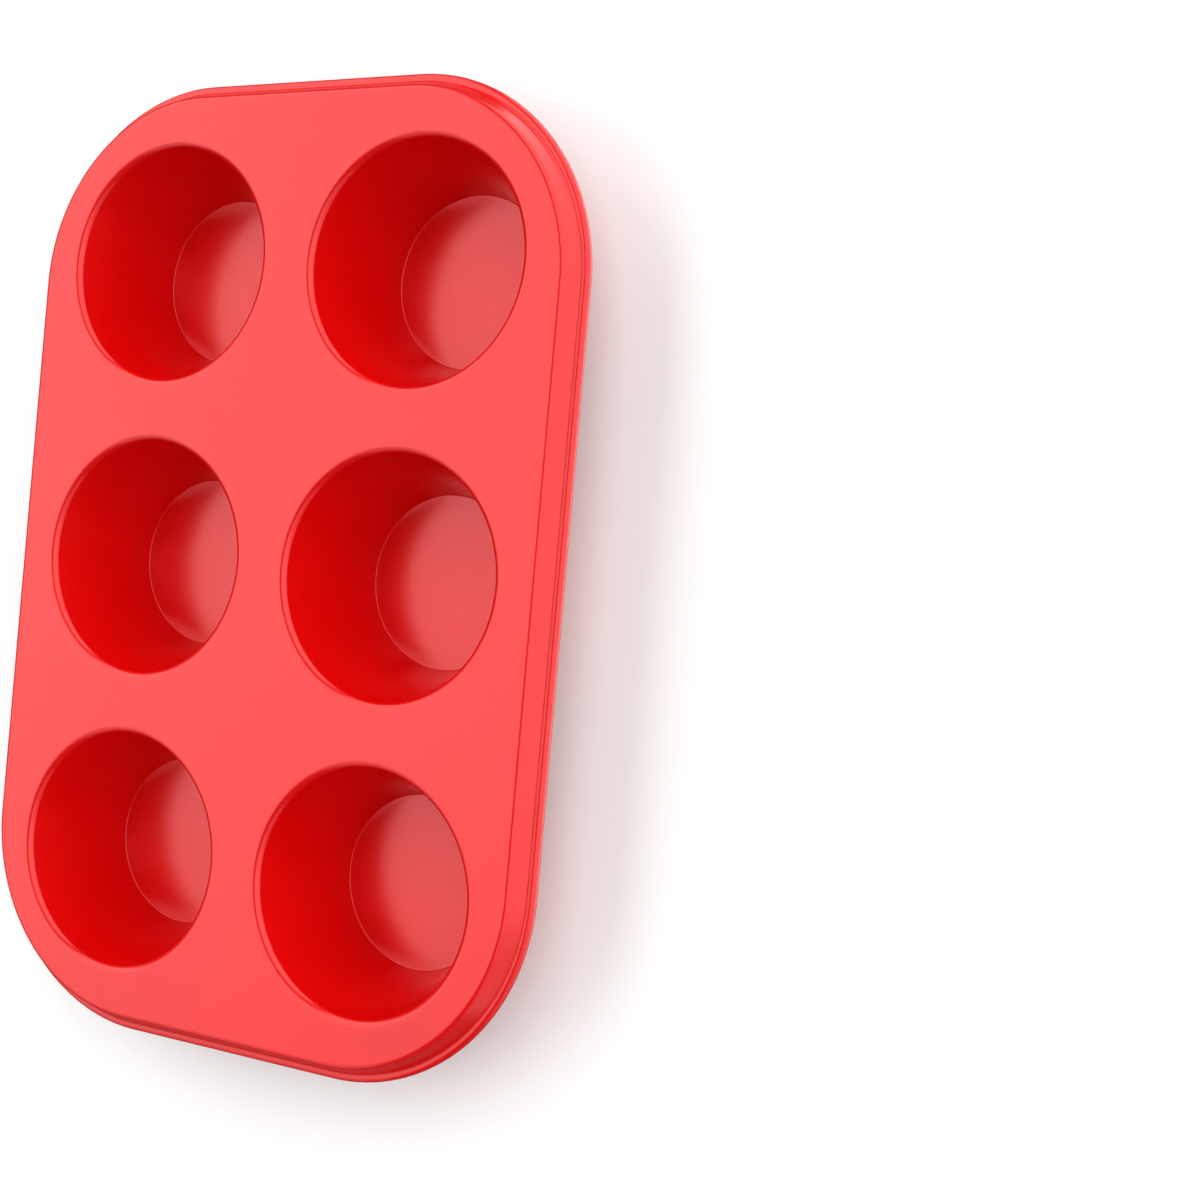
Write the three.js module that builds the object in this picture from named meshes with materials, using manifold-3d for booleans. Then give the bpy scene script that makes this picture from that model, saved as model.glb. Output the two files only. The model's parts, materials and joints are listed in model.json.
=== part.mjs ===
// A six-cup muffin pan: one silicone moulding, stiffened by a steel wire ring in its rim.
//
// Millimetres, +Z up. The undersides of the cups lie on z = 0, the pan is centred on X and Y,
// and its long side runs along Y.

import * as THREE from 'three';
import { mergeVertices } from 'three/addons/utils/BufferGeometryUtils.js';
import Module from 'manifold-3d';

// Cups. The top diameter is where the straight wall would meet the deck's upper face.
const CUPS_ACROSS = 2;
const CUPS_ALONG = 3;
const CUP_PITCH = 84;
const CUP_TOP_DIAMETER = 67.2;
const CUP_FLOOR_DIAMETER = 49;
const CUP_DEPTH = 31;
const CUP_WALL = 1.6;
const CUP_FLOOR_THICKNESS = 1.6;
const CUP_LIP_RADIUS = 2;
const CUP_FLOOR_CORNER_RADIUS = 0.3;
const CUP_FOOT_RADIUS = 2;

// Deck. The margins run from the wall line of the outer cups to the deck's edge.
const DECK_THICKNESS = 2;
const DECK_SIDE_MARGIN = 12.1;
const DECK_END_MARGIN = 13.5;
const DECK_CORNER_RADIUS = 52.5;
const DECK_EDGE_RADIUS = 1.6;

// Rim. A flared wall drops from the deck to a ledge, which is the top of a thick outer bead.
const RIM_STEP_DEPTH = 5.15;
const RIM_FLARE = THREE.MathUtils.degToRad(24);
const RIM_WALL = 1.8;
const RIM_HOLLOW_RADIUS = 0.7;
const BEAD_LEDGE_WIDTH = 2.3;
const BEAD_TOP_RADIUS = 1.2;
const BEAD_OUTER_FLAT = 0.2;
const BEAD_INNER_RADIUS = 0.7;
const BEAD_COVER = 0.9;
const BEAD_ROOF = 0.45;

// Wire ring, and the holes that the mould's locating pins leave under the bead.
const WIRE_DIAMETER = 1.8;
const WIRE_CLEARANCE = 0.3;
const PIN_HOLE_DIAMETER = 1.5;

// Fineness of the facets.
const CUP_SEGMENTS = 32;
const RIM_SEGMENTS = 48;
const WIRE_SIDES = 10;
const PIN_SIDES = 8;
const ARC_STEP = THREE.MathUtils.degToRad(25);

// How far the pieces of the moulding run into each other before they are joined.
const OVERLAP = 1;

// Heights and outline that follow from the sizes above.
const deckTop = CUP_DEPTH + CUP_FLOOR_THICKNESS;
const deckUnderside = deckTop - DECK_THICKNESS;
const deckHalfWidth = ((CUPS_ACROSS - 1) * CUP_PITCH + CUP_TOP_DIAMETER) / 2 + DECK_SIDE_MARGIN;
const deckHalfLength = ((CUPS_ALONG - 1) * CUP_PITCH + CUP_TOP_DIAMETER) / 2 + DECK_END_MARGIN;

// Rim section. Across is measured outwards from the deck's edge.
const channelRadius = WIRE_DIAMETER / 2 + WIRE_CLEARANCE;
const rimFoot = RIM_STEP_DEPTH * Math.tan(RIM_FLARE);
const beadOuter = rimFoot + BEAD_LEDGE_WIDTH;
const wireAcross = rimFoot - BEAD_COVER;
const beadInner = wireAcross - channelRadius - BEAD_COVER;
const ledgeHeight = deckTop - RIM_STEP_DEPTH;
const wireHeight = ledgeHeight - BEAD_ROOF - channelRadius;
const beadUnderside = wireHeight - channelRadius - BEAD_COVER;
// The lower rounding of the bead's outer side takes the height that the upper one leaves.
const beadBottomRadius = ledgeHeight - beadUnderside - BEAD_TOP_RADIUS - BEAD_OUTER_FLAT;

// The flat plate of the deck stops inside the rim's section, clear of the rounded edge.
const plateInset = DECK_EDGE_RADIUS + OVERLAP;

// An outline through corners given as [x, y, radius], each rounded by an arc of its radius.
function roundedOutline(corners) {
  const outline = [];
  corners.forEach(([x, y, radius], index) => {
    const corner = new THREE.Vector2(x, y);
    if (!radius) {
      outline.push(corner);
      return;
    }
    const before = corners[(index + corners.length - 1) % corners.length];
    const after = corners[(index + 1) % corners.length];
    const back = new THREE.Vector2(before[0] - x, before[1] - y).normalize();
    const ahead = new THREE.Vector2(after[0] - x, after[1] - y).normalize();
    const halfAngle = Math.acos(back.dot(ahead)) / 2;
    const middle = back.clone().add(ahead).normalize();
    const centre = corner.clone().addScaledVector(middle, radius / Math.sin(halfAngle));
    const start = corner.clone().addScaledVector(back, radius / Math.tan(halfAngle));
    const turn = Math.sign(ahead.cross(back)) * (Math.PI - 2 * halfAngle);
    const steps = Math.ceil(Math.abs(turn) / ARC_STEP);
    for (let step = 0; step <= steps; step += 1) {
      outline.push(start.clone().rotateAround(centre, (turn * step) / steps));
    }
  });
  return outline;
}

// A solid of revolution about Z, from a section whose x is the radius and whose y is the height.
function turned(section, segments) {
  return new THREE.LatheGeometry(section, segments).rotateX(Math.PI / 2);
}

// A ring that follows the deck's edge. The section is turned about Z at the corner radius, half a
// segment off the axes, and its four quarters are then drawn apart to the deck's corners.
function ringAlongEdge(section) {
  const halfSegment = Math.PI / RIM_SEGMENTS;
  // The arcs are drawn on the outside of the facets, so that the straight sides keep their place.
  const outwards = DECK_CORNER_RADIUS * (1 / Math.cos(halfSegment) - 1);
  const profile = section.map(({ x, y }) => new THREE.Vector2(x + DECK_CORNER_RADIUS + outwards, y));
  profile.push(profile[0].clone());
  const ring = new THREE.LatheGeometry(profile, RIM_SEGMENTS, halfSegment);
  ring.rotateX(Math.PI / 2);
  const position = ring.getAttribute('position');
  for (let i = 0; i < position.count; i += 1) {
    const x = position.getX(i);
    const y = position.getY(i);
    position.setX(i, x + Math.sign(x) * (deckHalfWidth - DECK_CORNER_RADIUS));
    position.setY(i, y + Math.sign(y) * (deckHalfLength - DECK_CORNER_RADIUS));
  }
  return ring;
}

// The section of the rim: the deck's edge, the flared wall, the ledge and the bead.
function rimSection() {
  const wallAcross = RIM_WALL / Math.cos(RIM_FLARE);
  const innerTop = DECK_THICKNESS * Math.tan(RIM_FLARE) - wallAcross;
  const innerFoot = RIM_STEP_DEPTH * Math.tan(RIM_FLARE) - wallAcross;
  const deckJoin = -plateInset - OVERLAP;
  return roundedOutline([
    [deckJoin, deckUnderside, 0],
    [innerTop, deckUnderside, RIM_HOLLOW_RADIUS],
    [innerFoot, ledgeHeight, 0],
    [beadInner, ledgeHeight - BEAD_ROOF, 0],
    [beadInner, beadUnderside, BEAD_INNER_RADIUS],
    [beadOuter, beadUnderside, beadBottomRadius],
    [beadOuter, ledgeHeight, BEAD_TOP_RADIUS],
    [rimFoot, ledgeHeight, RIM_HOLLOW_RADIUS],
    [0, deckTop, DECK_EDGE_RADIUS],
    [deckJoin, deckTop, 0],
  ]);
}

// A round section of the given radius at the wire's place in the bead.
function wireSection(radius) {
  const section = [];
  for (let side = 0; side < WIRE_SIDES; side += 1) {
    const angle = (2 * Math.PI * side) / WIRE_SIDES;
    const across = wireAcross + radius * Math.cos(angle);
    section.push(new THREE.Vector2(across, wireHeight + radius * Math.sin(angle)));
  }
  return section;
}

// The deck's flat plate, without its edge.
function deckPlate() {
  const x = deckHalfWidth - plateInset;
  const y = deckHalfLength - plateInset;
  const radius = DECK_CORNER_RADIUS - plateInset;
  const outline = new THREE.Shape();
  outline.absarc(x - radius, y - radius, radius, 0, Math.PI / 2);
  outline.absarc(radius - x, y - radius, radius, Math.PI / 2, Math.PI);
  outline.absarc(radius - x, radius - y, radius, Math.PI, 1.5 * Math.PI);
  outline.absarc(x - radius, radius - y, radius, 1.5 * Math.PI, 2 * Math.PI);
  const plate = new THREE.ExtrudeGeometry(outline, {
    depth: DECK_THICKNESS,
    bevelEnabled: false,
    curveSegments: RIM_SEGMENTS / 4,
  });
  return plate.translate(0, 0, deckUnderside);
}

// The radius of a cup's inner wall at a height above its floor.
function cupRadiusAt(height) {
  const floorRadius = CUP_FLOOR_DIAMETER / 2;
  return floorRadius + ((CUP_TOP_DIAMETER / 2 - floorRadius) * height) / CUP_DEPTH;
}

// The outside of a cup, up to the middle of the deck's thickness.
function cupShell() {
  const top = deckTop - DECK_THICKNESS / 2;
  const wallSlope = Math.atan((cupRadiusAt(CUP_DEPTH) - cupRadiusAt(0)) / CUP_DEPTH);
  const wallAcross = CUP_WALL / Math.cos(wallSlope);
  return turned(roundedOutline([
    [0, 0, 0],
    [cupRadiusAt(-CUP_FLOOR_THICKNESS) + wallAcross, 0, CUP_FOOT_RADIUS],
    [cupRadiusAt(top - CUP_FLOOR_THICKNESS) + wallAcross, top, 0],
    [0, top, 0],
  ]), CUP_SEGMENTS);
}

// The inside of a cup, with the rounded lip where it opens into the deck's upper face.
function cupHollow() {
  const mouth = CUP_TOP_DIAMETER / 2 + CUP_LIP_RADIUS;
  return turned(roundedOutline([
    [0, CUP_FLOOR_THICKNESS, 0],
    [cupRadiusAt(0), CUP_FLOOR_THICKNESS, CUP_FLOOR_CORNER_RADIUS],
    [cupRadiusAt(CUP_DEPTH), deckTop, CUP_LIP_RADIUS],
    [mouth, deckTop, 0],
    [mouth, deckTop + OVERLAP, 0],
    [0, deckTop + OVERLAP, 0],
  ]), CUP_SEGMENTS);
}

// A hole from below the bead up to the middle of the wire's channel.
function pinHole() {
  const bottom = beadUnderside - OVERLAP;
  const hole = new THREE.CylinderGeometry(
    PIN_HOLE_DIAMETER / 2,
    PIN_HOLE_DIAMETER / 2,
    wireHeight - bottom,
    PIN_SIDES,
  );
  return hole.rotateX(Math.PI / 2).translate(0, 0, (wireHeight + bottom) / 2);
}

// The centres of a row of equal steps about the middle.
function row(count, step) {
  return Array.from({ length: count }, (_, i) => (i - (count - 1) / 2) * step);
}

const cupColumns = row(CUPS_ACROSS, CUP_PITCH);
const cupRows = row(CUPS_ALONG, CUP_PITCH);
const cupPlaces = cupColumns.flatMap((x) => cupRows.map((y) => [x, y]));

// The pin holes stand on the wire's line, level with every row and column of cups.
const pinX = deckHalfWidth + wireAcross;
const pinY = deckHalfLength + wireAcross;
const pinPlaces = [
  ...cupRows.flatMap((y) => [[-pinX, y], [pinX, y]]),
  ...cupColumns.flatMap((x) => [[x, -pinY], [x, pinY]]),
];

const wasm = await Module();
wasm.setup();

// A solid for joining and cutting, from a closed geometry.
function solid(geometry) {
  geometry.deleteAttribute('normal');
  geometry.deleteAttribute('uv');
  const merged = mergeVertices(geometry);
  const index = merged.index.array;
  const triangles = [];
  for (let i = 0; i < index.length; i += 3) {
    const [a, b, c] = index.slice(i, i + 3);
    if (a !== b && b !== c && c !== a) {
      triangles.push(a, b, c);
    }
  }
  return new wasm.Manifold(new wasm.Mesh({
    numProp: 3,
    vertProperties: merged.getAttribute('position').array,
    triVerts: new Uint32Array(triangles),
  }));
}

// A named mesh from a solid.
function meshOf(name, shape, material) {
  const { vertProperties, triVerts } = shape.getMesh();
  const geometry = new THREE.BufferGeometry();
  geometry.setAttribute('position', new THREE.BufferAttribute(vertProperties, 3));
  geometry.setIndex(new THREE.BufferAttribute(triVerts, 1));
  geometry.computeVertexNormals();
  const mesh = new THREE.Mesh(geometry, material);
  mesh.name = name;
  return mesh;
}

const silicone = new THREE.MeshStandardMaterial({ color: 0xd9141a, roughness: 0.4, metalness: 0 });
const steel = new THREE.MeshStandardMaterial({ color: 0xb9bcc0, roughness: 0.3, metalness: 1 });

// The moulding: deck, rim and cup shells are joined, then the cups and the channel are cut out.
function siliconeBody() {
  let body = solid(ringAlongEdge(rimSection())).add(solid(deckPlate()));
  const shell = solid(cupShell());
  for (const [x, y] of cupPlaces) {
    body = body.add(shell.translate(x, y, 0));
  }
  const hollow = solid(cupHollow());
  for (const [x, y] of cupPlaces) {
    body = body.subtract(hollow.translate(x, y, 0));
  }
  body = body.subtract(solid(ringAlongEdge(wireSection(channelRadius))));
  const hole = solid(pinHole());
  for (const [x, y] of pinPlaces) {
    body = body.subtract(hole.translate(x, y, 0));
  }
  return body;
}

const pan = new THREE.Group();
pan.add(meshOf('silicone_body', siliconeBody(), silicone));
pan.add(meshOf('rim_wire', solid(ringAlongEdge(wireSection(WIRE_DIAMETER / 2))), steel));

export default pan;
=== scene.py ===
import json
import math

import bpy
import numpy as np
from mathutils import Matrix, Vector


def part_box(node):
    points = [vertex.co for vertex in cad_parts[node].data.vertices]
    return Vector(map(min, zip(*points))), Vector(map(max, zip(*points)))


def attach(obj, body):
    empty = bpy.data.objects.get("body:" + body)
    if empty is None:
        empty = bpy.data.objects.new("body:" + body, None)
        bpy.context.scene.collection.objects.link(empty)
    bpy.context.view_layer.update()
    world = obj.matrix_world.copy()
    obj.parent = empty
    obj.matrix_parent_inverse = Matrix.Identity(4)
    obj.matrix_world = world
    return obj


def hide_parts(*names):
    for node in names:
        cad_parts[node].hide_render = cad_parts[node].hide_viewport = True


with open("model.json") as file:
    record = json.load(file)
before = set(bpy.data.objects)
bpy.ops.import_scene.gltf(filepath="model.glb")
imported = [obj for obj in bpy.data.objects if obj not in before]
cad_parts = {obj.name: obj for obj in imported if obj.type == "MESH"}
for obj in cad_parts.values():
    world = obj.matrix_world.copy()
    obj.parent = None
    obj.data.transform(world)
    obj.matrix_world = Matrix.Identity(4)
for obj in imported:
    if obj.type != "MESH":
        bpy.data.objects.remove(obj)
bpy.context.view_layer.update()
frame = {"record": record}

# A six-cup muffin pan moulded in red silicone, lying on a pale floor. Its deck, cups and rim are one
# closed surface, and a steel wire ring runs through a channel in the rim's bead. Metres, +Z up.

MM = 0.001

# ---------------------------------------------------------------- sizes

CUP_TOP_RADIUS = 33.6 * MM
CUP_FLOOR_RADIUS = 24.5 * MM
CUP_WALL = 1.6 * MM
CUP_FLOOR_THICKNESS = 1.6 * MM
CUP_LIP_RADIUS = 2.0 * MM
CUP_FLOOR_CORNER_RADIUS = 0.3 * MM
CUP_FOOT_RADIUS = 2.0 * MM
CUP_ROOT_RADIUS = 1.5 * MM

DECK_THICKNESS = 2.0 * MM
DECK_CORNER_RADIUS = 52.5 * MM
DECK_EDGE_RADIUS = 1.6 * MM

RIM_STEP_DEPTH = 5.15 * MM
RIM_FLARE = math.radians(24)
RIM_WALL = 1.8 * MM
RIM_HOLLOW_RADIUS = 0.7 * MM
BEAD_LEDGE_WIDTH = 2.3 * MM
BEAD_TOP_RADIUS = 1.2 * MM
BEAD_OUTER_FLAT = 0.2 * MM
BEAD_INNER_RADIUS = 0.7 * MM
BEAD_COVER = 0.9 * MM
BEAD_ROOF = 0.45 * MM

WIRE_RADIUS = 0.9 * MM
WIRE_CLEARANCE = 0.3 * MM
PIN_HOLE_RADIUS = 0.75 * MM

# How finely the surfaces are divided.
RAY_STEP = math.radians(2.9)
ARC_STEP = math.radians(10)
LINE_STEP = 8.0 * MM
SUPPORT = 0.3 * MM
DECK_SHARES = 4
WIRE_SIDES = 20

# The frame gives the overall size and the places of the cups.
openings = {o["name"]: o["box_m"] for o in frame["record"]["physics"]["openings"]}
cup = np.abs(np.mean(openings["cup_6"], axis=0)[:2])
pan_half = np.array(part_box("silicone_body")[1])
deck_top = pan_half[2]
deck_underside = deck_top - DECK_THICKNESS
row_line = cup[1] / 2

# The rim's section, with across measured outwards from the deck's edge.
channel_radius = WIRE_RADIUS + WIRE_CLEARANCE
rim_foot = RIM_STEP_DEPTH * math.tan(RIM_FLARE)
bead_outer = rim_foot + BEAD_LEDGE_WIDTH
wire_across = rim_foot - BEAD_COVER
bead_inner = wire_across - channel_radius - BEAD_COVER
ledge_height = deck_top - RIM_STEP_DEPTH
wire_height = ledge_height - BEAD_ROOF - channel_radius
bead_underside = wire_height - channel_radius - BEAD_COVER
bead_bottom_radius = ledge_height - bead_underside - BEAD_TOP_RADIUS - BEAD_OUTER_FLAT

# The line inside the deck's edge where the rim's section starts: straight sides and round corners.
RIM_INSET = 3.2 * MM
start_half = pan_half[:2] - bead_outer - RIM_INSET
start_corner = DECK_CORNER_RADIUS - RIM_INSET
arc_centre = start_half - start_corner

# Each pin hole takes the place of a patch of four by four faces, five rows and columns of points.
PIN_ROWS = np.array([-0.7, -0.35, 0, 0.35, 0.7]) * channel_radius
PIN_SPREAD = math.radians(1.4)
RING_ROWS = np.array([0, 0, 0, 0, 0, 1, 2, 3, 4, 4, 4, 4, 4, 3, 2, 1])
RING_COLUMNS = np.roll(RING_ROWS, -4)


# ---------------------------------------------------------------- outlines


def straight(start, end):
    """Points on the line from start to end: even shares of it no longer than LINE_STEP, with one more
    point SUPPORT away from each end, which keeps a flat face flat beside a rounded one."""
    length = np.linalg.norm(end - start)
    near = min(0.3, SUPPORT / length)
    share = np.unique(np.r_[np.linspace(0, 1, math.ceil(length / LINE_STEP) + 1), near, 1 - near])
    return start + share[:, None] * (end - start)


def arc(centre, start, turn):
    """Points on the arc about centre that begins at start: start turned by even shares of turn."""
    angle = np.linspace(0, turn, math.ceil(abs(turn) / ARC_STEP) + 1)
    arm = start - centre
    cos, sin = np.cos(angle), np.sin(angle)
    return centre + np.stack([arm[0] * cos - arm[1] * sin, arm[0] * sin + arm[1] * cos], 1)


def rounded(*corners):
    """An outline through corners (x, y, radius): straight lines, with each inner corner replaced by
    the arc of its radius that touches both of its lines."""
    points = np.array([corner[:2] for corner in corners])
    pieces, here = [], points[0]
    for before, corner, after, (_, _, radius) in zip(points, points[1:], points[2:], corners[1:]):
        back = (before - corner) / np.linalg.norm(before - corner)
        ahead = (after - corner) / np.linalg.norm(after - corner)
        half = math.acos(back @ ahead) / 2
        middle = (back + ahead) / np.linalg.norm(back + ahead)
        touch = corner + back * radius / math.tan(half)
        side = math.copysign(1, ahead[0] * back[1] - ahead[1] * back[0])
        pieces.append(straight(here, touch))
        pieces.append(arc(corner + middle * radius / math.sin(half), touch, side * (math.pi - 2 * half)))
        here = pieces[-1][-1]
    outline = np.concatenate([*pieces, straight(here, points[-1])])
    step = np.linalg.norm(np.diff(outline, axis=0), axis=1)
    return outline[np.r_[True, step > 1e-7]]


def cup_radius_at(height):
    """The inner wall's radius at a height over the cup's floor, on a straight line from the floor's
    radius to the radius at the deck's face."""
    depth = deck_top - CUP_FLOOR_THICKNESS
    return CUP_FLOOR_RADIUS + (CUP_TOP_RADIUS - CUP_FLOOR_RADIUS) * height / depth


def cup_inside():
    """(radius, height) from the middle of a cup's floor, up the wall and over the lip to the deck."""
    return rounded(
        (0, CUP_FLOOR_THICKNESS, 0),
        (CUP_FLOOR_RADIUS, CUP_FLOOR_THICKNESS, CUP_FLOOR_CORNER_RADIUS),
        (CUP_TOP_RADIUS, deck_top, CUP_LIP_RADIUS),
        (CUP_TOP_RADIUS + 1.2 * CUP_LIP_RADIUS, deck_top, 0),
    )


def cup_outside():
    """(radius, height) from the middle of a cup's foot, up the outer wall to the deck's underside."""
    slope = math.atan2(CUP_TOP_RADIUS - CUP_FLOOR_RADIUS, deck_top - CUP_FLOOR_THICKNESS)
    wall = CUP_WALL / math.cos(slope)
    root = cup_radius_at(deck_underside - CUP_FLOOR_THICKNESS) + wall
    return rounded(
        (0, 0, 0),
        (cup_radius_at(-CUP_FLOOR_THICKNESS) + wall, 0, CUP_FOOT_RADIUS),
        (root, deck_underside, CUP_ROOT_RADIUS),
        (root + 1.2 * CUP_ROOT_RADIUS, deck_underside, 0),
    )


def rim_section():
    """(across, height) from the deck's face out over its edge, down the flared wall, over the ledge,
    round the bead and back up to the deck's underside, and the first of the pin holes' five rows,
    which lie on the bead's flat underside."""
    wall = RIM_WALL / math.cos(RIM_FLARE)
    pin_rows = wire_across - PIN_ROWS
    over = rounded(
        (-RIM_INSET, deck_top, 0),
        (0, deck_top, DECK_EDGE_RADIUS),
        (rim_foot, ledge_height, RIM_HOLLOW_RADIUS),
        (bead_outer, ledge_height, BEAD_TOP_RADIUS),
        (bead_outer, bead_underside, bead_bottom_radius),
        (pin_rows[0], bead_underside, 0),
    )
    under = rounded(
        (pin_rows[-1], bead_underside, 0),
        (bead_inner, bead_underside, BEAD_INNER_RADIUS),
        (bead_inner, ledge_height - BEAD_ROOF, BEAD_INNER_RADIUS / 2),
        (rim_foot - wall, ledge_height, RIM_HOLLOW_RADIUS / 2),
        (DECK_THICKNESS * math.tan(RIM_FLARE) - wall, deck_underside, RIM_HOLLOW_RADIUS),
        (-RIM_INSET, deck_underside, 0),
    )
    level = np.stack([pin_rows, np.full(5, bead_underside)], 1)
    return np.concatenate([over[:-1], level, under[1:]]), len(over) - 1


def channel_section():
    """(across, height) once round the channel: five rows along its bottom, over the pin holes' rows,
    and even steps of angle round the rest of the circle."""
    bottom = np.arcsin(PIN_ROWS / channel_radius)
    rest = np.linspace(bottom[-1], bottom[0] + 2 * math.pi, 14)[1:-1]
    turn = np.r_[bottom, rest]
    return np.stack([
        wire_across + channel_radius * np.sin(turn),
        wire_height - channel_radius * np.cos(turn),
    ], 1)


def wire_section():
    """(across, height) once round the wire, a circle in even steps."""
    turn = np.linspace(0, -2 * math.pi, WIRE_SIDES, endpoint=False)
    return np.stack([
        wire_across + WIRE_RADIUS * np.sin(turn),
        wire_height - WIRE_RADIUS * np.cos(turn),
    ], 1)


# ---------------------------------------------------------------- the plan of the deck


def rays(*keys):
    """Angles that pass through every key and are evenly spread between one key and the next."""
    spans = [
        np.linspace(a, b, max(1, round((b - a) / RAY_STEP)) + 1)[:-1]
        for a, b in zip(keys, keys[1:])
    ]
    return np.concatenate([*spans, keys[-1:]])


def cell_angles():
    """Ray angles from the corner cup and from the middle cup of the quarter of the pan where x and y
    are positive. Both have rays to the corners of their cells, so neighbouring cells share the points
    of their common side, and five close rays at each pin hole: the rays that meet the rim's start
    line where its normal passes through the hole."""
    side = math.atan2(row_line, start_half[0] - cup[0])
    end = math.pi - math.atan2(start_half[1] - cup[1], cup[0])
    inner = math.atan2(row_line, cup[0])
    lean = np.arcsin((cup - arc_centre) / (start_corner + RIM_INSET + wire_across))
    beside = arc_centre + start_corner * np.array([math.cos(lean[1]), math.sin(lean[1])]) - cup
    beyond = arc_centre + start_corner * np.array([math.sin(lean[0]), math.cos(lean[0])]) - cup
    pins = [math.atan2(y, x) + PIN_SPREAD * k / 2 for x, y in (beside, beyond) for k in range(-2, 3)]
    corner = rays(inner - math.pi, -side, *pins, end, inner + math.pi)
    middle = rays(0, PIN_SPREAD / 2, PIN_SPREAD, side, math.pi - inner, math.pi)
    return corner, middle, side, end


def start_hit(centre, angle):
    """How far rays from centre run to the rim's start line, in the quarter where x and y are positive:
    to the straight side where y is below the corner arc's centre, to the straight end where x is, and
    to the arc beyond both. A ray that meets none of them runs to infinity."""
    ray = np.stack([np.cos(angle), np.sin(angle)], 1)
    ray = np.where(np.abs(ray) < 1e-12, 1e-12, ray)
    to_side, to_end = ((start_half - centre) / ray).T
    arm = centre - arc_centre
    along = ray @ arm
    to_arc = np.sqrt(np.maximum(along**2 - arm @ arm + start_corner**2, 0)) - along
    corner = centre + to_arc[:, None] * ray
    on_side = (to_side > 0) & (centre[1] + to_side * ray[:, 1] <= arc_centre[1])
    on_end = (to_end > 0) & (centre[0] + to_end * ray[:, 0] <= arc_centre[0])
    on_arc = (to_arc > 0) & (corner > arc_centre).all(1)
    return np.select([on_side, on_end, on_arc], [to_side, to_end, to_arc], np.inf)


def cell_reach(centre, angle):
    """How far rays from a cup's centre run inside its cell: to the nearest of the rim's start line, the
    middle plane x = 0 and the line halfway between two rows of cups."""
    across, along = np.cos(angle), np.sin(angle) * np.sign(row_line - centre[1])
    to_plane = np.where(across < -1e-9, centre[0] / np.maximum(-across, 1e-9), np.inf)
    to_row = np.where(along > 1e-9, abs(row_line - centre[1]) / np.maximum(along, 1e-9), np.inf)
    return np.minimum(start_hit(centre, angle), np.minimum(to_plane, to_row))


def edge_line():
    """The deck's edge as a closed line of points with outward normals, anticlockwise, and the columns
    of the ten pin holes. Each point stands RIM_INSET outside the place where a ray meets the rim's
    start line. The normal points away from the arc's centre on a corner, and straight out elsewhere."""
    corner, middle, side, end = cell_angles()
    middle_cup = np.array([cup[0], 0.0])
    low = middle[middle < side - 1e-9]
    high = corner[(corner > -side - 1e-9) & (corner < end + 1e-9)]
    line = np.concatenate([
        centre + start_hit(centre, angle)[:, None] * np.stack([np.cos(angle), np.sin(angle)], 1)
        for centre, angle in ((middle_cup, low), (cup, high))
    ])
    normal = np.maximum(line - arc_centre, 0)
    normal /= np.linalg.norm(normal, axis=1)[:, None]
    both = np.concatenate([line + RIM_INSET * normal, normal], 1)
    left, right = both * (-1, 1, -1, 1), both * (1, -1, 1, -1)
    loop = np.concatenate([both[:-1], left[:0:-1], -both[:-1], right[:0:-1]])
    edge, normal = loop[:, :2], loop[:, 2:]
    outer = pan_half[:2] - bead_outer + wire_across
    sides = [(s * outer[0], row * cup[1]) for s in (-1, 1) for row in (-1, 0, 1)]
    ends = [(column * cup[0], s * outer[1]) for s in (-1, 1) for column in (-1, 1)]
    apart = np.linalg.norm((edge + wire_across * normal)[None] - np.array(sides + ends)[:, None], axis=2)
    return edge, normal, apart.argmin(1)


# ---------------------------------------------------------------- surfaces


class Surface:
    """The points and faces of one closed piece, gathered grid by grid."""

    def __init__(self):
        self.points = []
        self.faces = []
        self.count = 0

    def add(self, points, faces):
        """Adds points (any shape, 3) and four-sided faces that count them in order."""
        points = points.reshape(-1, 3)
        self.points.append(points)
        self.faces.append(faces + self.count)
        self.count += len(points)

    def object(self, name, material):
        """The piece as an object: points within a tenth of a micron become one, a face that loses a
        corner by that becomes a triangle, and what no face uses is dropped."""
        points = np.concatenate(self.points)
        cell = np.round(points / 1e-7).astype(np.int64)
        _, kept, where = np.unique(cell, axis=0, return_index=True, return_inverse=True)
        faces = where.reshape(-1)[np.concatenate(self.faces)]
        same = faces == np.roll(faces, -1, axis=1)
        faces = faces[same.sum(1) < 2]
        same = same[same.sum(1) < 2]
        used, faces = np.unique(faces, return_inverse=True)
        faces = faces.reshape(-1, 4)
        whole = ~same.any(1)
        triangles = faces[~whole][~same[~whole]].reshape(-1, 3)
        mesh = bpy.data.meshes.new(name)
        mesh.from_pydata(points[kept[used]].tolist(), [], faces[whole].tolist() + triangles.tolist())
        mesh.update()
        mesh.shade_smooth()
        mesh.set_sharp_from_angle(angle=math.radians(40))
        mesh.materials.append(material)
        made = bpy.data.objects.new(name, mesh)
        bpy.context.collection.objects.link(made)
        return made


def grid_faces(rows, columns, closed=True, kept=None):
    """Four-sided faces of a grid, which face up where rows run outwards and columns anticlockwise. A
    closed grid's last column meets its first. kept, a mask of (rows - 1, columns), leaves faces out."""
    index = np.arange(rows * columns).reshape(rows, columns)
    ahead = np.roll(index, -1, axis=1)
    faces = np.stack([index[:-1], index[1:], ahead[1:], ahead[:-1]], -1)
    if kept is not None:
        return faces[kept]
    return (faces if closed else faces[:, :-1]).reshape(-1, 4)


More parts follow.
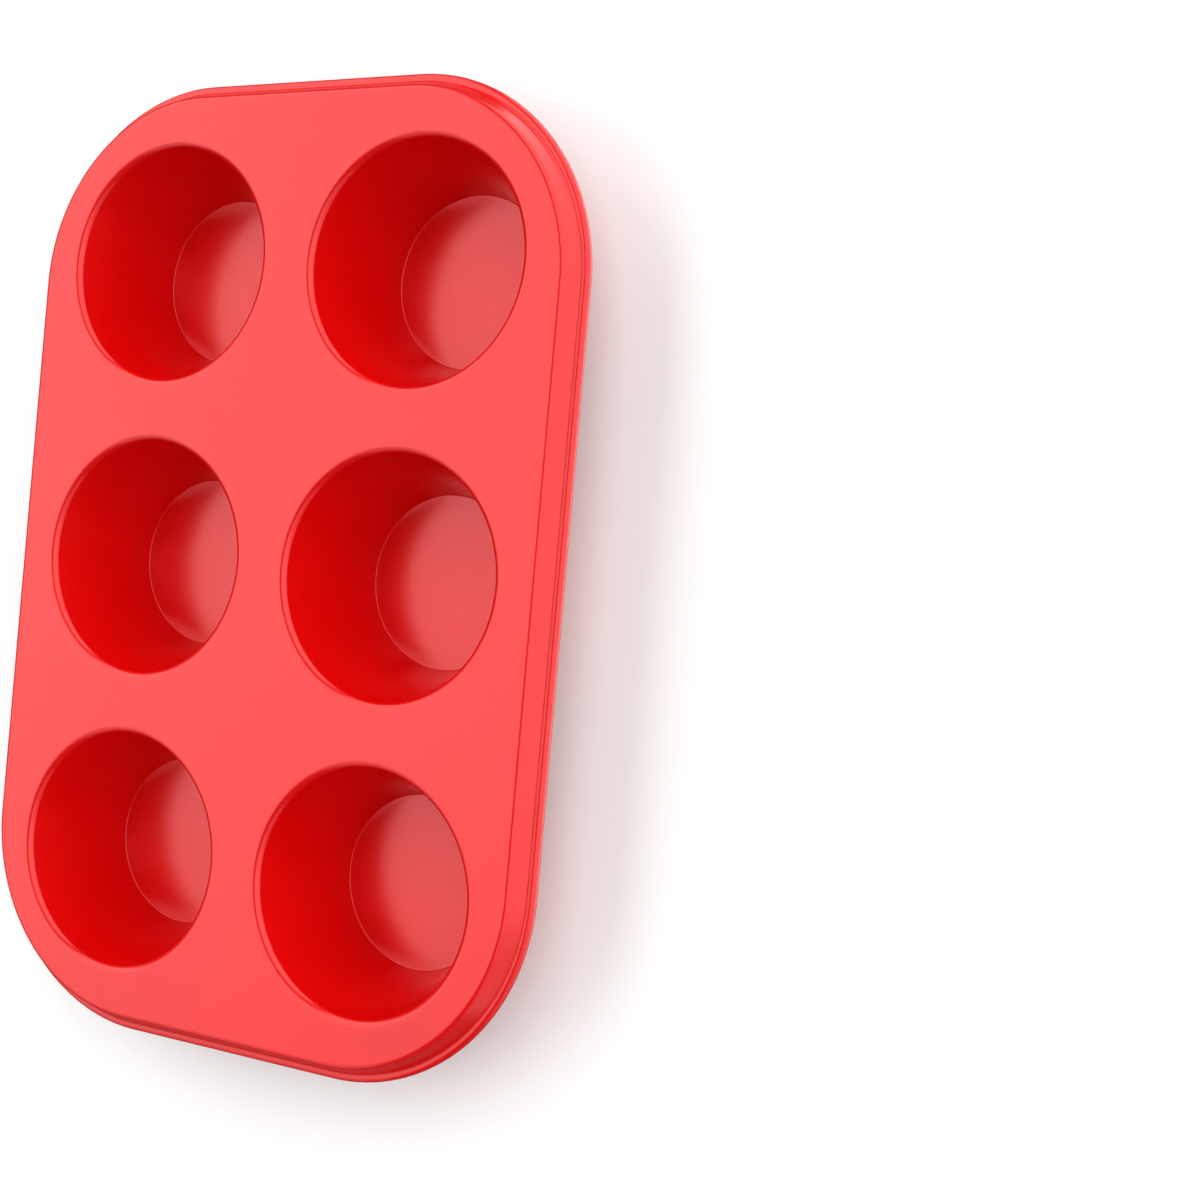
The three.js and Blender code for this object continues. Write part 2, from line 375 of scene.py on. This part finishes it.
def polar_sheet(centre, angle, section):
    """A sheet round a cup: along each ray it follows the section (radius, height), and then a level
    line in even shares of what is left to the side of the cell."""
    ray = np.stack([np.cos(angle), np.sin(angle)], 1)
    share = np.linspace(0, 1, DECK_SHARES + 1)[1:, None]
    end = section[-1, 0]
    radius = np.concatenate([
        np.repeat(section[:, :1], len(angle), axis=1),
        end + share * (cell_reach(centre, angle) - end),
    ])
    height = np.r_[section[:, 1], np.full(DECK_SHARES, section[-1, 1])]
    level = np.broadcast_to(height[:, None, None], (*radius.shape, 1))
    return np.concatenate([centre + radius[..., None] * ray, level], -1)


def swept(edge, normal, section):
    """A section (across, height) carried along the deck's edge: each of its points stands off the line
    by across times the line's normal, at its own height."""
    plan = edge + section[:, None, :1] * normal
    height = np.broadcast_to(section[:, 1:, None], (len(section), len(edge), 1))
    return np.concatenate([plan, height], -1)


def add_cells(surface):
    """The cups and the deck between them, top and underside: the cell of a corner cup and half of the
    cell of a middle cup, mirrored to the pan's four quarters."""
    corner, middle, _, _ = cell_angles()
    for centre, angle in ((cup, corner), (np.array([cup[0], 0.0]), middle)):
        for section, upward in ((cup_inside(), 1), (cup_outside(), -1)):
            sheet = polar_sheet(centre, angle, section)
            faces = grid_faces(*sheet.shape[:2], closed=False)
            for x, y in ((1, 1), (-1, 1), (1, -1), (-1, -1)):
                surface.add(sheet * (x, y, 1), faces[:, :: upward * x * y])


def add_rim(surface):
    """The rim all round, the channel inside its bead and the ten pin holes between the two. Each hole
    is four rings of sixteen points: the sides of the patch that it replaces under the bead, a circle
    there, the same circle raised to the channel's round bottom, and the sides of the channel's patch."""
    edge, normal, pins = edge_line()
    section, first_row = rim_section()
    rim = swept(edge, normal, section)
    channel = swept(edge, normal, channel_section())
    channel = np.concatenate([channel, channel[:1]])
    columns = (pins[:, None] + np.arange(-2, 2)) % len(edge)
    for grid, row in ((rim, first_row), (channel, 0)):
        kept = np.ones((len(grid) - 1, len(edge)), bool)
        kept[row : row + 4, columns] = False
        surface.add(grid, grid_faces(*grid.shape[:2], kept=kept))
    ring = (pins[:, None] + RING_COLUMNS - 2) % len(edge)
    under = rim[first_row + RING_ROWS, ring]
    over = channel[4 - RING_ROWS, ring]
    centre = rim[first_row + 2, pins][:, None]
    arm = under - centre
    arm *= PIN_HOLE_RADIUS / np.linalg.norm(arm, axis=2, keepdims=True)
    across = (arm[..., :2] * normal[pins][:, None]).sum(2)
    raised = centre + arm
    raised[..., 2] = wire_height - np.sqrt(channel_radius**2 - across**2)
    for strip in np.stack([under, centre + arm, raised, over], 1):
        surface.add(strip, grid_faces(4, 16))


# ---------------------------------------------------------------- finishes


def node(tree, kind, inputs=None, **settings):
    """A new node: inputs maps a socket's name or number to a value or to another node's output."""
    made = tree.nodes.new(kind)
    for name, value in settings.items():
        setattr(made, name, value)
    for name, value in (inputs or {}).items():
        if isinstance(value, bpy.types.NodeSocket):
            tree.links.new(value, made.inputs[name])
        else:
            made.inputs[name].default_value = value
    return made


def ramp(tree, factor, *stops):
    """A colour ramp through stops (place, colour), as its colour output."""
    made = node(tree, "ShaderNodeValToRGB", {0: factor})
    elements = made.color_ramp.elements
    for element, (place, colour) in zip(elements, (stops[0], stops[-1])):
        element.position = place
        element.color = (*colour, 1)
    for place, colour in stops[1:-1]:
        elements.new(place).color = (*colour, 1)
    return made.outputs["Color"]


def spread(tree, value, low, high):
    """A value from 0 to 1 carried over to the range from low to high."""
    made = node(tree, "ShaderNodeMapRange", {"Value": value, "To Min": low, "To Max": high})
    return made.outputs["Result"]


def noise(tree, place, scale, detail=2.0, roughness=0.5):
    """Soft noise of that many cells to the metre."""
    made = node(
        tree, "ShaderNodeTexNoise",
        {"Vector": place, "Scale": scale, "Detail": detail, "Roughness": roughness},
    )
    return made.outputs["Fac"]


def new_material(name):
    """An empty node material with its output, a Principled shader and Object coordinates."""
    material = bpy.data.materials.new(name)
    material.use_nodes = True
    tree = material.node_tree
    tree.nodes.clear()
    shader = node(tree, "ShaderNodeBsdfPrincipled")
    output = node(tree, "ShaderNodeOutputMaterial", {"Surface": shader.outputs["BSDF"]})
    place = node(tree, "ShaderNodeTexCoord").outputs["Object"]
    return material, tree, shader, output, place


def moulded_silicone():
    """Red silicone off a satin mould: clouds of slightly uneven pigment, a satin gloss that varies
    softly over the sheet and is tinted a little by the pigment, and a fine grain from the mould's
    blasted face."""
    material, tree, shader, _, place = new_material("moulded_silicone")
    clouds = noise(tree, place, 28, detail=4, roughness=0.6)
    pigment = ramp(tree, clouds, (0.3, (0.555, 0.0009, 0.0010)), (0.7, (0.605, 0.0014, 0.0015)))
    tree.links.new(pigment, shader.inputs["Base Color"])
    sheen = noise(tree, place, 90, detail=5, roughness=0.65)
    tree.links.new(spread(tree, sheen, 0.17, 0.23), shader.inputs["Roughness"])
    grain = noise(tree, place, 6000, detail=2)
    bump = node(tree, "ShaderNodeBump", {"Height": grain, "Strength": 0.05, "Distance": 0.02 * MM})
    tree.links.new(bump.outputs["Normal"], shader.inputs["Normal"])
    shader.inputs["Metallic"].default_value = 0.13
    shader.inputs["IOR"].default_value = 1.5
    return material


def drawn_steel():
    """Bright drawn wire: bare steel with fine specks of oxide and fine dull specks."""
    material, tree, shader, _, place = new_material("drawn_steel")
    specks = noise(tree, place, 3000, detail=3)
    tint = ramp(tree, specks, (0.3, (0.40, 0.39, 0.37)), (0.7, (0.62, 0.61, 0.59)))
    tree.links.new(tint, shader.inputs["Base Color"])
    tree.links.new(spread(tree, specks, 0.22, 0.42), shader.inputs["Roughness"])
    shader.inputs["Metallic"].default_value = 1.0
    return material


def pale_floor():
    """Plain pale floor, seen from above only, so that the pan can be looked at from below."""
    material, tree, shader, output, _ = new_material("pale_floor")
    shader.inputs["Base Color"].default_value = (FLOOR_GREY, FLOOR_GREY, FLOOR_GREY, 1)
    shader.inputs["Roughness"].default_value = 0.9
    shader.inputs["Specular IOR Level"].default_value = 0.0
    clear = node(tree, "ShaderNodeBsdfTransparent")
    back = node(tree, "ShaderNodeNewGeometry").outputs["Backfacing"]
    mixed = node(
        tree, "ShaderNodeMixShader",
        {0: back, 1: shader.outputs["BSDF"], 2: clear.outputs["BSDF"]},
    )
    tree.links.new(mixed.outputs["Shader"], output.inputs["Surface"])
    return material


# ---------------------------------------------------------------- the pan


def make_silicone():
    """The whole moulding as one closed surface, which stands for the CAD body."""
    surface = Surface()
    add_cells(surface)
    add_rim(surface)
    made = surface.object("pan_moulding", moulded_silicone())
    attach(made, "root")
    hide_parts("silicone_body")
    return made


def make_wire():
    """The wire ring in the bead's channel: a round section carried along the rim."""
    surface = Surface()
    edge, normal, _ = edge_line()
    wire = swept(edge, normal, wire_section())
    wire = np.concatenate([wire, wire[:1]])
    surface.add(wire, grid_faces(*wire.shape[:2]))
    made = surface.object("stiffening_wire", drawn_steel())
    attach(made, "root")
    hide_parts("rim_wire")
    return made


# ---------------------------------------------------------------- floor, light and camera

FLOOR_GREY = 0.78
FLOOR_HALF = 6.0

# Two soft lights in a dim room, each set by the direction it comes from: x to the right, y to the
# back, z up, all as parts of a direction of length 1. A light is nothing at the first number of each
# of its edges and full at the second. The right light's edge is in x plus RIGHT_TURN times y, and
# the left light's are in x, x and z. Towards the front each light weakens, in y: it is whole at the
# second number of its FRONT pair, and only FRONT_SHARE of it is left at the first.
DIM_LIGHT = 0.15
RIGHT_LIGHT = 2.3
RIGHT_EDGE = (0.08, 0.22)
RIGHT_TURN = 0.28
LEFT_LIGHT = 2.68
LEFT_OUTER_EDGE = (-0.92, -0.78)
LEFT_INNER_EDGE = (-0.28, -0.38)
LEFT_LOWER_EDGE = (0.15, 0.35)
RIGHT_FRONT = (-0.7, 0.0)
LEFT_FRONT = (-0.6, 0.0)
FRONT_SHARE = 0.35


def make_floor():
    """A level square under the pan, which gloss doesn't reflect."""
    corners = [(x * FLOOR_HALF, y * FLOOR_HALF, 0) for x, y in ((-1, -1), (1, -1), (1, 1), (-1, 1))]
    mesh = bpy.data.meshes.new("floor")
    mesh.from_pydata(corners, [], [(0, 1, 2, 3)])
    mesh.materials.append(pale_floor())
    floor = bpy.data.objects.new("floor", mesh)
    floor.visible_glossy = False
    bpy.context.collection.objects.link(floor)


def maths(tree, operation, *values):
    """The result of one operation on values, each a number or another node's output."""
    made = node(tree, "ShaderNodeMath", dict(enumerate(values)), operation=operation)
    return made.outputs["Value"]


def rising(tree, value, edge):
    """A soft step: 0 on the near side of the edge's first number, 1 beyond its second."""
    made = node(
        tree, "ShaderNodeMapRange",
        {"Value": value, "From Min": edge[0], "From Max": edge[1]},
        interpolation_type="SMOOTHSTEP",
    )
    return made.outputs["Result"]


def make_studio():
    """A dim room with two broad soft lights: one that fills the right side, turned a little to the
    back, and one high on the left, which ends before it is overhead. Both weaken towards the front.
    Seen directly, the room is plain white."""
    world = bpy.data.worlds.new("studio")
    world.use_nodes = True
    tree = world.node_tree
    direction = node(tree, "ShaderNodeTexCoord").outputs["Generated"]
    x, y, z = node(tree, "ShaderNodeSeparateXYZ", {0: direction}).outputs

    from_right = rising(tree, maths(tree, "MULTIPLY_ADD", y, RIGHT_TURN, x), RIGHT_EDGE)
    front = spread(tree, rising(tree, y, RIGHT_FRONT), FRONT_SHARE, 1.0)
    right = maths(tree, "MULTIPLY", from_right, maths(tree, "MULTIPLY", front, RIGHT_LIGHT))

    across = maths(tree, "MULTIPLY", rising(tree, x, LEFT_OUTER_EDGE), rising(tree, x, LEFT_INNER_EDGE))
    from_left = maths(tree, "MULTIPLY", across, rising(tree, z, LEFT_LOWER_EDGE))
    front = spread(tree, rising(tree, y, LEFT_FRONT), FRONT_SHARE, 1.0)
    left = maths(tree, "MULTIPLY", from_left, maths(tree, "MULTIPLY", front, LEFT_LIGHT))

    light = maths(tree, "ADD", maths(tree, "MAXIMUM", right, left), DIM_LIGHT)
    seen = node(tree, "ShaderNodeLightPath").outputs["Is Camera Ray"]
    mixed = node(tree, "ShaderNodeMix", {"Factor": seen, "A": light, "B": 1.0}, data_type="FLOAT")
    background = tree.nodes["Background"]
    background.inputs["Color"].default_value = (1.0, 1.0, 1.0, 1)
    tree.links.new(mixed.outputs["Result"], background.inputs["Strength"])
    bpy.context.scene.world = world


def make_camera():
    """The camera over the pan's right side, looking down and to the left, with the pan left of the
    middle of its view."""
    data = bpy.data.cameras.new("camera")
    data.lens = 55.5
    data.sensor_width = 36.0
    data.clip_start = 0.01
    data.clip_end = 50.0
    camera = bpy.data.objects.new("camera", data)
    ahead = Vector((-0.466079, -0.002625, -0.884739)).normalized()
    up = Vector((-0.078859, 0.996139, 0.038588))
    right = ahead.cross(up).normalized()
    up = right.cross(ahead)
    turned = Matrix((right, up, -ahead)).transposed().to_4x4()
    camera.matrix_world = Matrix.Translation((0.3205, 0.00041, 0.4389)) @ turned
    bpy.context.collection.objects.link(camera)
    bpy.context.scene.camera = camera


make_silicone()
make_wire()
make_floor()
make_studio()
make_camera()
bpy.context.scene.view_settings.view_transform = "Standard"
